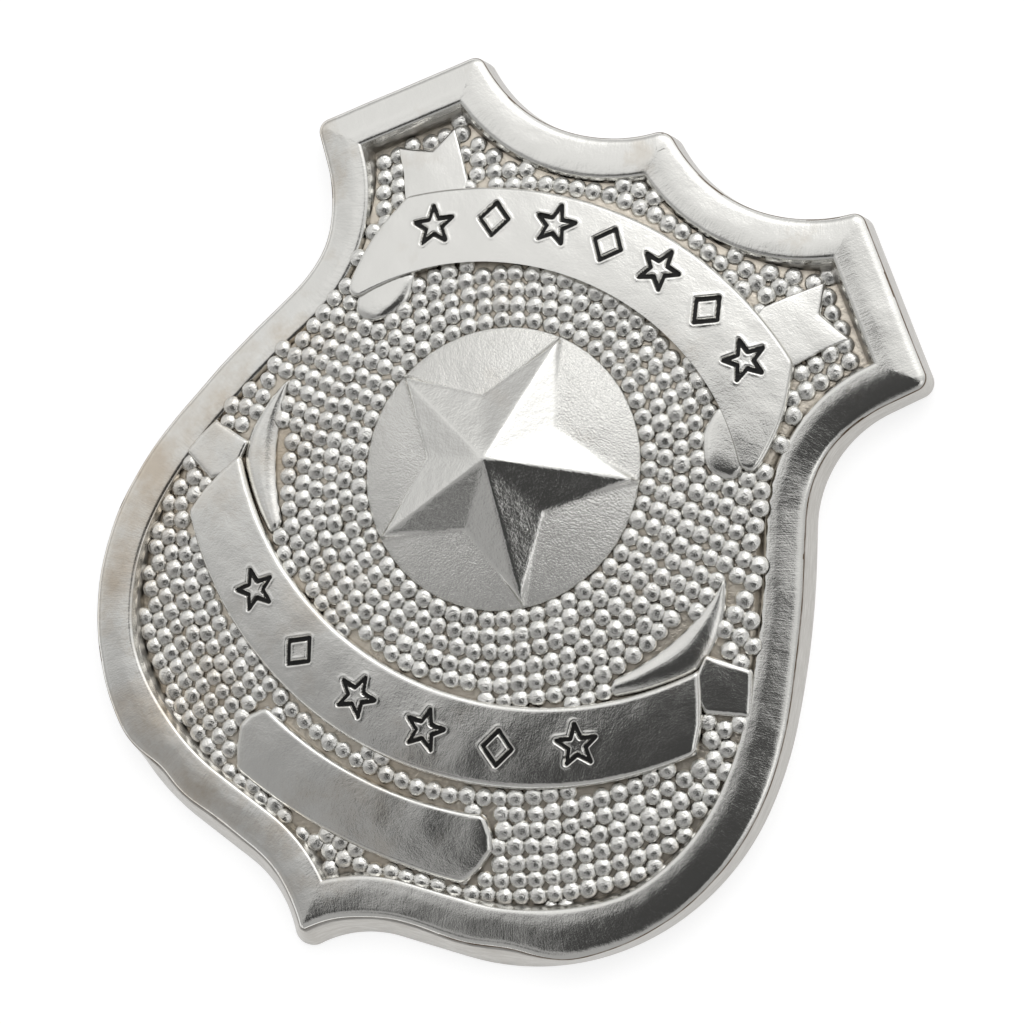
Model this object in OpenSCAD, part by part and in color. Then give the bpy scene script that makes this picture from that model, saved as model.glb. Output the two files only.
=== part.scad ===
/* [Outline] */
// Width across the widest point of the shield, mm
badge_w = 54.6; // [54:0.2:55.2]
// Width of the raised rim
rim_w = 3.2; // [3:0.1:3.4]
// Height of the rim's crest above the back
rim_h = 2.6; // [2.5:0.1:2.9]

/* [Field] */
// Radius of the domed field
field_r = 140; // [135:1:150]
// Height of the field's top above the rim's crest
field_rise = 1.7; // [1.6:0.05:1.9]
// Thickness of the field
wall = 1.7; // [1.5:0.1:1.8]
// Diameter of one bead
bead_d = 1.05; // [0.9:0.05:1.05]
// Distance between two rings of beads
ring_pitch = 1.14; // [1.14:0.02:1.3]
// Distance between two beads of a ring
bead_pitch = 1.25; // [1.2:0.05:1.5]

/* [Boss and star] */
// Radius of the round boss
boss_r = 10.3; // [10.1:0.1:10.3]
// Rise of the boss at its centre
boss_rise = 1.85; // [1.75:0.05:1.9]
// Distance from the star's centre to its points
star_r = 10; // [9.5:0.1:10]
// Rise of the star's apex
star_rise = 4.1; // [3.9:0.1:4.5]

/* [Ribbons] */
// Height of the two ribbons above the field
ribbon_h = 0.85; // [0.75:0.05:0.95]
// Height of the blank banner above the field
banner_h = 0.7; // [0.6:0.05:0.8]
// Height of the ribbons' tails, horns, flaps and tabs above the field
tail_h = 0.55; // [0.45:0.05:0.65]
// Depth of the punched marks
mark_depth = 0.3; // [0.2:0.05:0.4]

/* [Pin] */
// Length of the pin's plate
pin_l = 26; // [22:1:28]

/* [Hidden] */
eps = 0.01;
$fn = 64;

metal = "silver";
steel = "gainsboro";

// Outline from the widest point, as rows of radius, turn and the straight after it
// A turn to the left bulges outwards, a turn to the right is hollow
UPPER = [[26.9, 13.2, 0], [66.4, 10.5, 2.2], [8.8, -64.9, 2.6], [1.1, 87.3, 11.8], [1.1, 80.1, 0]];
LOWER = [[18.8, 59.2, 0], [19.1, 20.8, 5.3]];
// Radius of the last hollow and of the point on the axis
UPPER_END = [11.9, 1.5];
LOWER_END = [8.95, 1.4];
wide_y = -14.15;
turn_step = 6;

// Rim section as distance inwards and height
crest_drop = 0.22;
edge_drop = 0.4;
draft = 0.65;
RIM = [
    [0, 0],
    [0, rim_h - edge_drop],
    [0.45, rim_h - 0.17],
    [1.0, rim_h - 0.04],
    [rim_w / 2, rim_h],
    [rim_w - 1.0, rim_h - 0.04],
    [rim_w - 0.4, rim_h - 0.12],
    [rim_w, rim_h - crest_drop],
    [rim_w + draft, rim_h - 1.8],
    [rim_w + draft, 0],
];

// Field
field_y = -3.5;
field_top = rim_h + field_rise;
seat = rim_w / 2 + 0.6;

// Boss and star in the frame of the field at the boss
boss_tilt = asin(-field_y / field_r);
boss_edge = -0.08;
boss_sag = boss_rise - boss_edge;
cap_r = (boss_r * boss_r + boss_sag * boss_sag) / 2 / boss_sag;
star_in = 5.2;
tip_rise = 0.54;
inner_rise = 1.45;
star_foot = -0.4;

// Beads: clear of the rim by a gap, but partly under the ribbons
bead_gap = bead_d / 2 + 0.05;
bead_cut = 0.2;
wall_slope = draft / (1.8 - crest_drop);

// Ribbons and banner lie between two circles, each a height on the axis and a radius
ribbon_top = field_r + ribbon_h;
UPPER_OUT = [-8.5, 28.7];
UPPER_IN = [-5.1, 19.9];
UPPER_SIDE = [2.4, 9, 19.6];
upper_end = 7;
LOWER_OUT = [6.2, 28.5];
LOWER_IN = [8.5, 24.8];
BANNER_OUT = [16.4, 45.5];
BANNER_IN = [5.3, 29.6];
HORN_IN = [1.5, 1, 16.7];
mark_w = 0.45;
mark_r = 1.75;
lozenge_r = 1.3;
TAIL = [[11.4, 16.4], [12.2, 18], [15.4, 21.5], [16.1, 19.2], [18.9, 18.4], [16.4, 15.4], [15, 13.6]];
FLAP = [[12.5, 10.3], [12.2, 8.2], [13.2, 6.2], [14.6, 5.6], [15.8, 5.9], [16.3, 7.4], [15.6, 9.5], [13.5, 11]];
HORN = [[18.4, -0.5], [19.3, -3], [19.5, -5.5], [18.9, -7.5], [14.3, -11.6], [12, -11], [12, -1]];
TAB = [[19.2, -5.9], [21.8, -5.6], [23.7, -8.6], [20.9, -9.7], [19.4, -8.6]];
LOWER_CUT = [[18.9, -7], [21.6, -12.5], [21.6, -30], [0, -30], [0, -7]];
BANNER_CUT = [[9.3, -22.5], [10.8, -24.9], [9.8, -29], [0, -30], [0, -22.5]];
// Marks as places, 1 for a star and 0 for a lozenge
UPPER_MARKS = [
    [-12.9, 14.0, 1], [-8.8, 16.2, 0], [-4.3, 17.5, 1], [0, 17.7, 0],
    [4.3, 17.5, 1], [8.8, 16.2, 0], [12.9, 14.0, 1],
];
LOWER_MARKS = [
    [-13.6, -15.5, 1], [-8.4, -18.1, 0], [-2.9, -19.2, 1],
    [2.9, -19.2, 1], [8.4, -18.1, 0], [13.6, -15.5, 1],
];

// Pin
pin_gap = 0.25;
pin_y = 2;
plate_w = 3;
plate_t = 0.55;
lug_l = 1.8;
wire_r = 0.4;
wire_z = 0.95;
lug_z = 0.4;

// Walking along the outline: a state is x, y and heading
function ahead(h) = [cos(h), sin(h)];
function aside(h) = [-sin(h), cos(h)];
function pivot(s, r, t) = [s[0], s[1]] + sign(t) * r * aside(s[2]);
function turned(s, r, t) = concat(pivot(s, r, t) - sign(t) * r * aside(s[2] + t), [s[2] + t]);
function moved(s, d) = concat([s[0], s[1]] + d * ahead(s[2]), [s[2]]);
function steps(r, t) = r < rim_w ? 7 : ceil(abs(t) / turn_step);
function arc(s, r, t) = [for (k = [0:steps(r, t) - 1]) turned(s, r, t * k / steps(r, t))];
function after(s, row) = moved(turned(s, row[0], row[1]), row[2]);
function last(s, rows, i = 0) = i == len(rows) ? s : last(after(s, rows[i]), rows, i + 1);
function walk(s, rows, i = 0) =
    i == len(rows) ? [] : concat(arc(s, rows[i][0], rows[i][1]), walk(after(s, rows[i]), rows, i + 1));

// Closing the outline on the axis with a hollow and a rounded point
function hollow(s, r) = pivot(s, r, -1);
function point_y(c, ends, u) =
    u <= ends[1] ? c[1] - sqrt(pow(ends[0] + ends[1], 2) - c[0] * c[0]) + ends[1] - u
    : c[1] - sqrt(pow(ends[0] + u, 2) - c[0] * c[0]);
function hollow_turn(s, c, ends) =
    atan2(point_y(c, ends, ends[1]) - c[1], -c[0]) - atan2(s[1] - c[1], s[0] - c[0]);
function below(t) = t > 0 ? t - 360 : t;
function close_rows(s, ends) =
    let (c = hollow(s, ends[0]), t = below(hollow_turn(s, c, ends)))
    [[ends[0], t, 0], [ends[1], 180 - s[2] - t, 0]];
function whole(s, rows, ends) = concat(rows, close_rows(last(s, rows), ends));

// Tight corners: centre, heading and half turn, where an inner edge folds to one point
function corner(s, r, half) = [pivot(s, r, 1), s[2] + half, half, r];
function corners(s, rows, i = 0) =
    i == len(rows) ? [] : concat(
        rows[i][0] < rim_w ? [corner(s, rows[i][0], rows[i][1] / 2)] : [],
        corners(after(s, rows[i]), rows, i + 1)
    );
function past(p, c) = (p - c[0]) * ahead(c[1]);
function crossed(p, q, c) = past(p, c) * past(q, c) < 0 && norm(p - c[0]) < 2 * rim_w;
function folded(p, q, u, cs, i = 0) =
    i == len(cs) ? q
    : crossed(p, q, cs[i]) ? cs[i][0] + (u - cs[i][3]) / cos(cs[i][2]) * aside(cs[i][1])
    : folded(p, q, u, cs, i + 1);
function inset(s, u, cs) =
    let (p = [s[0], s[1]], q = folded(p, p + u * aside(s[2]), u, cs)) [max(q[0], 0), q[1]];

// The two right-hand quarters, the lower one worked out upside down
UP_START = [badge_w / 2, wide_y, 90];
DOWN_START = [badge_w / 2, -wide_y, 90];
UP_PATH = walk(UP_START, whole(UP_START, UPPER, UPPER_END));
DOWN_PATH = walk(DOWN_START, whole(DOWN_START, LOWER, LOWER_END));
UP_CORNERS = corners(UP_START, UPPER);
UP_HOLLOW = hollow(last(UP_START, UPPER), UPPER_END[0]);
DOWN_HOLLOW = hollow(last(DOWN_START, LOWER), LOWER_END[0]);
function on_axis(q, y) = q[0] > 0 ? q : [0, y];
function upper(u) = [for (s = UP_PATH) on_axis(inset(s, u, UP_CORNERS), point_y(UP_HOLLOW, UPPER_END, u))];
function lower(u) = [
    for (s = DOWN_PATH)
        let (q = on_axis(inset(s, u, []), point_y(DOWN_HOLLOW, LOWER_END, u))) [q[0], -q[1]]
];
function flipped(list) = [for (i = [len(list) - 1:-1:0]) [-list[i][0], list[i][1]]];
function backwards(list) = [for (i = [len(list) - 1:-1:1]) list[i]];
function outline(u) =
    let (a = upper(u), b = lower(u))
    concat(
        a,
        [[0, point_y(UP_HOLLOW, UPPER_END, u)]],
        flipped(a),
        [for (i = [1:len(b) - 1]) [-b[i][0], b[i][1]]],
        [[0, -point_y(DOWN_HOLLOW, LOWER_END, u)]],
        backwards(b)
    );

// The origin lies under the middle of the outline
function heights(row) = [for (q = row) q[1]];
mid_y = (max(heights(outline(0))) + min(heights(outline(0)))) / 2;

module rim() {
    rings = [for (k = RIM) [for (q = outline(k[0])) [q[0], q[1], k[1]]]];
    n = len(rings[0]);
    m = len(rings);
    points = [for (ring = rings) each ring];
    faces = [
        for (k = [0:m - 1], i = [0:n - 1])
            let (k2 = (k + 1) % m, i2 = (i + 1) % n)
            each [[k * n + i, k2 * n + i, k2 * n + i2], [k * n + i, k2 * n + i2, k * n + i2]]
    ];
    solid = [
        for (f = faces)
            if (norm(points[f[0]] - points[f[1]]) > eps && norm(points[f[1]] - points[f[2]]) > eps
                && norm(points[f[2]] - points[f[0]]) > eps) f
    ];
    polyhedron(points, solid, convexity = 10);
}

// Spheres round the centre of the field
function field_z(p) =
    field_top - field_r + sqrt(field_r * field_r - p[0] * p[0] - pow(p[1] - field_y, 2));

module dome(r) {
    translate([0, field_y, field_top - field_r])
        sphere(r, $fn = 200);
}

module field() {
    difference() {
        intersection() {
            linear_extrude(field_top + 1)
                polygon(outline(seat));
            dome(field_r);
        }
        difference() {
            dome(field_r - wall);
            translate([-50, -50, -300])
                cube([100, 100, 300 - 1]);
        }
    }
}

// A flat shape raised over the field by h
module raised(h) {
    difference() {
        intersection() {
            linear_extrude(field_top + 2)
                children();
            dome(field_r + h);
        }
        dome(field_r - wall / 2);
    }
}

module both_sides() {
    children();
    mirror([1, 0])
        children();
}

module boss() {
    translate([0, 0, boss_rise - cap_r])
        intersection() {
            sphere(cap_r, $fn = 128);
            translate([0, 0, cap_r - boss_sag - 0.9])
                cylinder(h = boss_sag + 2, r = boss_r, $fn = 128);
        }
}

module star() {
    ring = [for (i = [0:9]) (i % 2 == 0 ? star_r : star_in) * ahead(90 + 36 * i)];
    top = [for (i = [0:9]) [ring[i][0], ring[i][1], i % 2 == 0 ? tip_rise : inner_rise]];
    foot = [for (q = ring) [q[0], q[1], star_foot]];
    polyhedron(
        concat([[0, 0, star_rise]], top, foot),
        concat(
            [for (i = [0:9]) [0, 1 + (i + 1) % 10, 1 + i]],
            [for (i = [0:9]) [1 + i, 1 + (i + 1) % 10, 11 + (i + 1) % 10, 11 + i]],
            [[for (i = [0:9]) 11 + i]]
        )
    );
}

module disc(c) {
    translate([0, c[0]])
        circle(c[1], $fn = 160);
}

module upper_side() {
    translate([UPPER_SIDE[0], UPPER_SIDE[1]])
        circle(UPPER_SIDE[2], $fn = 160);
}

module upper_ribbon() {
    difference() {
        intersection() {
            disc(UPPER_OUT);
            upper_side();
            mirror([1, 0])
                upper_side();
            translate([-badge_w / 2, upper_end])
                square([badge_w, badge_w / 2]);
        }
        disc(UPPER_IN);
    }
}

module lower_ribbon() {
    difference() {
        intersection() {
            disc(LOWER_OUT);
            both_sides()
                polygon(LOWER_CUT);
        }
        disc(LOWER_IN);
    }
}

module banner() {
    difference() {
        intersection() {
            disc(BANNER_OUT);
            both_sides()
                polygon(BANNER_CUT);
        }
        disc(BANNER_IN);
    }
}

module horn() {
    difference() {
        polygon(HORN);
        translate([HORN_IN[0], HORN_IN[1]])
            circle(HORN_IN[2], $fn = 120);
    }
}

function star_points(r) = [for (i = [0:9]) (i % 2 == 0 ? r : 0.42 * r) * ahead(90 + 36 * i)];
function lozenge_points(r) = [[r, 0], [0, 1.15 * r], [-r, 0], [0, -1.15 * r]];

module mark(kind) {
    difference() {
        polygon(kind == 1 ? star_points(mark_r) : lozenge_points(lozenge_r));
        polygon(kind == 1 ? star_points(mark_r - 2.2 * mark_w) : lozenge_points(lozenge_r - 1.3 * mark_w));
    }
}

module marks() {
    difference() {
        linear_extrude(field_top + 3) {
            for (m = UPPER_MARKS)
                translate([m[0], m[1]])
                    rotate(atan2(m[1] + 8.5, m[0]) - 90)
                        mark(m[2]);
            for (m = LOWER_MARKS)
                translate([m[0], m[1]])
                    rotate(atan2(m[1] - 7.5, m[0]) + 90)
                        mark(m[2]);
        }
        dome(ribbon_top - mark_depth);
    }
}

// Distance from a place to the nearest side of a row of points
function side_gap(p, a, b) =
    let (d = b - a, t = d * d < eps ? 0 : (p - a) * d / (d * d))
    norm(p - a - max(0, min(1, t)) * d);
function row_gap(p, row) = min([for (i = [1:len(row) - 1]) side_gap(p, row[i - 1], row[i])]);
function cross_x(y, a, b) = a[0] + (y - a[1]) / (b[1] - a[1]) * (b[0] - a[0]);
function crossings(p, row) = len([
    for (i = [0:len(row) - 1])
        let (a = row[i], b = row[(i + 1) % len(row)])
        if ((a[1] > p[1]) != (b[1] > p[1]) && p[0] < cross_x(p[1], a, b)) i
]);
function near(p, row, m) = crossings(p, row) % 2 == 1 || row_gap(p, concat(row, [row[0]])) < m;
function within(p, c, r) = norm(p - c) < r;

// Where a bead would lie under the rim, a ribbon or another raised shape
EDGE_UP = upper(0);
EDGE_DOWN = lower(0);
FAR_SIDE = [[-1, 60], [-1, -60]];
function rim_reach(p) = rim_w + wall_slope * (rim_h - crest_drop - field_z(p));
function near_rim(p, m) =
    min(row_gap(p, EDGE_UP), row_gap(p, EDGE_DOWN)) < rim_reach(p) + m
    || crossings(p, concat(EDGE_UP, FAR_SIDE, backwards(EDGE_DOWN))) % 2 == 0;
function band(p, inner, outer, m) =
    within(p, [0, outer[0]], outer[1] + m) && !within(p, [0, inner[0]], inner[1] - m);
function on_upper(p, m) =
    band(p, UPPER_IN, UPPER_OUT, m) && within(p, [-UPPER_SIDE[0], UPPER_SIDE[1]], UPPER_SIDE[2] + m)
    && p[1] > upper_end - m;
function on_lower(p, m) = band(p, LOWER_IN, LOWER_OUT, m) && near(p, LOWER_CUT, m);
function on_banner(p, m) = band(p, BANNER_IN, BANNER_OUT, m) && near(p, BANNER_CUT, m);
function on_horn(p, m) = near(p, HORN, m) && !within(p, [HORN_IN[0], HORN_IN[1]], HORN_IN[2] - m);
function covered(p) =
    near_rim(p, bead_gap) || on_upper(p, bead_cut) || on_lower(p, bead_cut) || on_banner(p, bead_cut)
    || on_horn(p, bead_cut) || near(p, TAIL, bead_cut) || near(p, FLAP, bead_cut) || near(p, TAB, bead_cut);

// Rings of beads round the boss
first_ring = boss_r + bead_gap;
RINGS = [for (r = first_ring; r < 34; r = r + ring_pitch) r];
BEADS = [
    for (j = [0:len(RINGS) - 1])
        let (r = RINGS[j], n = floor(360 * r * PI / 180 / bead_pitch))
        for (k = [0:n - 1])
            let (p = r * ahead(90 + 360 * (k + (j % 2) / 2) / n))
            if (!covered([abs(p[0]), p[1]])) p
];

module beads() {
    for (p = BEADS)
        translate([p[0], p[1], field_z(p)])
            sphere(d = bead_d, $fn = 24);
}

module shield() {
    color(metal) translate([0, -mid_y, 0]) {
        difference() {
            union() {
                rim();
                field();
                rotate([-boss_tilt, 0, 0])
                    translate([0, 0, field_z([0, 0]) / cos(boss_tilt)]) {
                        boss();
                        star();
                    }
                raised(ribbon_h) {
                    upper_ribbon();
                    lower_ribbon();
                }
                raised(banner_h)
                    banner();
                raised(tail_h) {
                    both_sides() {
                        polygon(TAIL);
                        polygon(FLAP);
                        horn();
                        polygon(TAB);
                    }
                }
            }
            marks();
        }
        beads();
    }
}

module brooch_pin() {
    color(steel)
        translate([0, pin_y - mid_y, 0]) {
            difference() {
                intersection() {
                    translate([-pin_l / 2, -plate_w / 2, 0])
                        cube([pin_l, plate_w, field_top]);
                    translate([0, -pin_y, 0])
                        dome(field_r - wall - pin_gap);
                }
                translate([0, -pin_y, 0])
                    dome(field_r - wall - pin_gap - plate_t);
            }
            for (x = [-pin_l / 2, pin_l / 2 - lug_l])
                translate([x, -plate_w / 2, lug_z])
                    cube([lug_l, plate_w, wire_z + 0.1]);
            translate([-pin_l / 2 + 0.5, 0, wire_z])
                rotate([0, 90, 0])
                    cylinder(h = pin_l - 1, r = wire_r, $fn = 48);
        }
}

shield();
brooch_pin();
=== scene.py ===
import math

import bmesh
import bpy
import numpy as np
from bpy.props import FloatProperty, FloatVectorProperty, PointerProperty
from mathutils import Matrix, Vector


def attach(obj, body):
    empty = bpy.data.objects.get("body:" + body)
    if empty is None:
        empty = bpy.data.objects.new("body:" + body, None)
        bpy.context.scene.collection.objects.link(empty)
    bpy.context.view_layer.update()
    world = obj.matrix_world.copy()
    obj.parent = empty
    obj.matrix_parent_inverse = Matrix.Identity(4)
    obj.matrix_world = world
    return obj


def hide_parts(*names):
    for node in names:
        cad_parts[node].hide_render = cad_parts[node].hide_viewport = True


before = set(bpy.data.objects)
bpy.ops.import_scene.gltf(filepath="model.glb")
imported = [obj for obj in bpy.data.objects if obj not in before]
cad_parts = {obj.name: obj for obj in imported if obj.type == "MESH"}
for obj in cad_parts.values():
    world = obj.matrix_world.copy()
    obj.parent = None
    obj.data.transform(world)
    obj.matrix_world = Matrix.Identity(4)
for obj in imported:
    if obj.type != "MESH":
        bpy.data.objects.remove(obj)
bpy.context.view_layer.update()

bl_info = {
    "name": "Police Badge",
    "version": (1, 0, 0),
    "blender": (4, 5, 0),
    "location": "View3D > Sidebar > Badge",
    "description": "Builds a cast and plated shield badge with a beaded field, a star and two ribbons",
    "category": "Add Mesh",
}

MM = 0.001

# Outline from the widest point in mm, as radius, turn in degrees and the straight after it.
# A turn to the left bulges outwards, a turn to the right is hollow.
UPPER_ROWS = ((26.9, 13.2, 0), (66.4, 10.5, 2.2), (8.8, -64.9, 2.6), (1.1, 87.3, 11.8), (1.1, 80.1, 0))
LOWER_ROWS = ((18.8, 59.2, 0), (19.1, 20.8, 5.3))
UPPER_END = (11.9, 1.5)
LOWER_END = (8.95, 1.4)
WIDEST_Y = -14.15
HALF_WIDTH = 27.3
FIELD_Y = -3.5
# Longest steps along the outline, in degrees of turn and in mm.
DEGREES_STEP, MM_STEP = 3.0, 0.4

# Ribbons and banner lie between two circles: height of the centre on the axis and radius in mm.
UPPER_OUT, UPPER_IN = (-8.5, 28.7), (-5.1, 19.9)
LOWER_OUT, LOWER_IN = (6.2, 28.5), (8.5, 24.8)
BANNER_OUT, BANNER_IN = (16.4, 45.5), (5.3, 29.6)


def on_both_sides(*half):
    """Rows of x, y and kind from left to right, of which those with x above 0 are mirrored."""
    return [(-x, y, kind) for x, y, kind in reversed(half) if x > 0] + list(half)


# Places of the punched marks in mm. A ribbon's marks stand upright on rays from a centre on the axis.
UPPER_MARKS = on_both_sides(
    (0, 17.7, "lozenge"), (4.3, 17.5, "star"), (8.8, 16.2, "lozenge"), (12.9, 14.0, "star")
)
LOWER_MARKS = on_both_sides((2.9, -19.2, "star"), (8.4, -18.1, "lozenge"), (13.6, -15.5, "star"))
UPPER_MARK_CENTRE, LOWER_MARK_CENTRE = -8.5, 7.5


# Sizes and colours that a user would change


def length(name, description, size_mm):
    return FloatProperty(name=name, description=description, default=size_mm * MM, unit="LENGTH", precision=5)


def linear(hex_colour):
    """An sRGB hex colour as linear red, green and blue."""
    values = [int(hex_colour[i : i + 2], 16) / 255 for i in (0, 2, 4)]
    return tuple(v / 12.92 if v <= 0.04045 else ((v + 0.055) / 1.055) ** 2.4 for v in values)


def colour(name, description, hex_colour):
    return FloatVectorProperty(
        name=name, description=description, default=linear(hex_colour), subtype="COLOR", size=3, min=0, max=1
    )


class BadgeSizes(bpy.types.PropertyGroup):
    rim_width: length("Rim Width", "Width of the cushion-shaped rim", 3.2)
    rim_height: length("Rim Height", "Height of the rim's crest above its back", 2.6)
    field_radius: length("Field Radius", "Radius of the domed field", 140)
    field_rise: length("Field Rise", "Height of the field's top above the rim's crest", 1.7)
    wall: length("Wall", "Thickness of the casting under the field", 1.7)
    bead: length("Bead", "Diameter of one bead at its foot", 1.44)
    ring_pitch: length("Ring Pitch", "Distance between two rings of beads", 1.14)
    bead_pitch: length("Bead Pitch", "Distance between two beads of a ring", 1.25)
    boss_radius: length("Boss Radius", "Radius of the round boss", 10.3)
    boss_rise: length("Boss Rise", "Rise of the boss at its centre", 1.85)
    star_radius: length("Star Radius", "Distance from the star's centre to its points", 10)
    star_rise: length("Star Rise", "Rise of the star's apex", 4.1)
    ribbon_height: length("Ribbon Height", "Height of the two ribbons above the field", 0.85)
    banner_height: length("Banner Height", "Height of the blank banner above the field", 0.7)
    tail_height: length("Tail Height", "Height of the tails, horns, flaps and tabs", 0.55)


class BadgeFinish(bpy.types.PropertyGroup):
    nickel: colour("Nickel", "Bright nickel plate", "DCDBD7")
    dull: colour("Dull Nickel", "Rough plate between the beads", "CEC6B9")
    tarnish: colour("Tarnish", "Warm film on handled plate", "B19A78")
    # Brown of the corners between beads and beside raised shapes: partly deposit, partly painted shade.
    grime_and_shade: colour("Grime", "Brown deposit in the corners", "4A3D2E")
    enamel: colour("Enamel", "Black filling of the punched marks", "090807")
    steel: colour("Steel", "Bright drawn steel of the pin", "B9BABC")
    floor: colour("Floor", "Frosted acrylic of the light table", "B4B4B4")


# Outline


def heading(angle):
    return np.array([math.cos(math.radians(angle)), math.sin(math.radians(angle))])


def to_left(angle):
    return np.array([-math.sin(math.radians(angle)), math.cos(math.radians(angle))])


def walk(start, rows):
    """Points (x, y, heading) along arcs and straights, and the state after the last one."""
    point, angle = np.array(start[:2], float), start[2]
    states = []
    for radius, turn, run in rows:
        side = math.copysign(1, turn)
        pivot = point + side * radius * to_left(angle)
        run_mm = radius * math.radians(abs(turn))
        steps = max(1, math.ceil(abs(turn) / DEGREES_STEP), math.ceil(run_mm / MM_STEP))
        states += [
            (*(pivot - side * radius * to_left(angle + turn * k / steps)), angle + turn * k / steps)
            for k in range(steps)
        ]
        angle += turn
        point = pivot - side * radius * to_left(angle)
        steps = math.ceil(run / MM_STEP)
        states += [(*(point + heading(angle) * run * k / steps), angle) for k in range(steps)]
        point = point + heading(angle) * run
    return states, (*point, angle)


def half_outline(start, rows, ends):
    """From the widest point to the axis, closed by a hollow arc and a rounded point."""
    states, last = walk(start, rows)
    hollow, tip = ends
    pivot = np.array(last[:2]) - hollow * to_left(last[2])
    tip_y = pivot[1] - math.sqrt((hollow + tip) ** 2 - pivot[0] ** 2)
    turn = math.degrees(
        math.atan2(tip_y - pivot[1], -pivot[0]) - math.atan2(last[1] - pivot[1], last[0] - pivot[0])
    )
    turn = turn - 360 if turn > 0 else turn
    closing = ((hollow, turn, 0), (tip, 180 - last[2] - turn, 0))
    end_states, end = walk(last, closing)
    return np.array(states + end_states + [end])


def whole_outline():
    """The closed outline, counter-clockwise from the lower point, as x, y and heading."""
    upper = half_outline((HALF_WIDTH, WIDEST_Y, 90), UPPER_ROWS, UPPER_END)
    lower = half_outline((HALF_WIDTH, -WIDEST_Y, 90), LOWER_ROWS, LOWER_END)
    lower = lower[::-1] * (1, -1, -1) + (0, 0, 180)
    right = np.vstack([lower[:-1], upper])
    left = right[-2:0:-1] * (-1, 1, -1) + (0, 0, 360)
    return np.vstack([right, left])


def edge_distance(points, loop):
    """Distance from each point to a closed row of points."""
    a, b = loop, np.roll(loop, -1, 0)
    d = b - a
    squared = np.maximum((d * d).sum(1), 1e-12)
    nearest = np.full(len(points), 1e9)
    for start, step, square in zip(a, d, squared):
        t = np.clip(((points - start) @ step) / square, 0, 1)
        gap = points - start - t[:, None] * step
        nearest = np.minimum(nearest, (gap * gap).sum(1))
    return np.sqrt(nearest)


def inset(outline, distance):
    """The outline moved inwards, with the points that cross a corner's fold brought onto it."""
    distance = np.broadcast_to(distance, len(outline)).astype(float)
    angles = np.radians(outline[:, 2])
    inwards = np.stack([-np.sin(angles), np.cos(angles)], 1)
    along = np.stack([np.cos(angles), np.sin(angles)], 1)
    moved = outline[:, :2] + distance[:, None] * inwards
    slack_mm = 0.05
    kept = edge_distance(moved, outline[:, :2]) > distance - slack_mm
    count = len(moved)
    first = int(np.argmax(kept))
    before, run = first, []
    for index in [(first + k) % count for k in range(1, count + 1)]:
        if not kept[index]:
            run.append(index)
            continue
        if run:
            a, b = moved[before], moved[index]
            matrix = np.stack([along[before], -along[index]], 1)
            step = np.linalg.solve(matrix, b - a)[0] if abs(np.linalg.det(matrix)) > 1e-3 else 0.5
            moved[run] = a + step * along[before]
            run = []
        before = index
    return moved


def inside(points, loop):
    """Which points lie inside a closed row of points."""
    a, b = loop, np.roll(loop, -1, 0)
    odd = np.zeros(len(points), bool)
    for p, q in zip(a, b):
        if p[1] == q[1]:
            continue
        crosses = (p[1] > points[:, 1]) != (q[1] > points[:, 1])
        odd ^= crosses & (points[:, 0] < p[0] + (points[:, 1] - p[1]) / (q[1] - p[1]) * (q[0] - p[0]))
    return odd


def smooth_step(value, low, high):
    t = np.clip((value - low) / (high - low), 0, 1)
    return t * t * (3 - 2 * t)


def ripple(x, y, wave, seed):
    """Gentle unevenness between about -1 and 1, made of sines with hills about half a wave wide."""
    chance = np.random.default_rng(seed)
    total = np.zeros(np.broadcast(x, y).shape)
    sines, softening = 9, 4
    for _ in range(sines):
        angle, phase = chance.uniform(0, 2 * math.pi, 2)
        pitch = 2 * math.pi / (wave * chance.uniform(0.7, 1.6))
        total = total + np.sin(pitch * (np.cos(angle) * x + np.sin(angle) * y) + phase)
    return total / softening


OUTLINE = whole_outline()
MIDDLE_Y = (OUTLINE[:, 1].max() + OUTLINE[:, 1].min()) / 2


class Casting:
    """The badge's sizes in mm, and the height of its field."""

    def __init__(self, sizes):
        for name in BadgeSizes.__annotations__:
            setattr(self, name, getattr(sizes, name) / MM)
        self.boss_tilt = math.asin(-FIELD_Y / self.field_radius)
        self.field_top = self.rim_height + self.field_rise
        self.inner_edge_z = self.rim_height - 0.22

    def field_z(self, x, y, lift=0.0):
        radius = self.field_radius + lift
        return self.field_top - self.field_radius + np.sqrt(radius**2 - x**2 - (y - FIELD_Y) ** 2)

    def rim_reach(self, y):
        """Width of the rim at a height on the axis: it is broader round the lower point."""
        return self.rim_width + 0.75 * (1 - smooth_step(y, -32, -24))

    def crease_inset(self, x, y):
        """How far the cushion's outer edge stands in from the foot of the drafted side wall."""
        waist = 0.22 * smooth_step(y, -12, -2) * (1 - smooth_step(y, 9, 14))
        point = 0.95 * (1 - smooth_step(y, -32, -24)) * (1 - smooth_step(np.abs(x), 15, 20))
        return 0.18 + waist + point

    def wall_inset(self, x, y):
        """How far inside the outline a bead may stand beside the rim's inner wall."""
        drop = self.inner_edge_z - self.field_z(x, y)
        return self.rim_reach(y) + np.where(drop > 0.15, 0.2 + 0.42 * np.maximum(drop, 0), 0.12)


# Meshes


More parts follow.
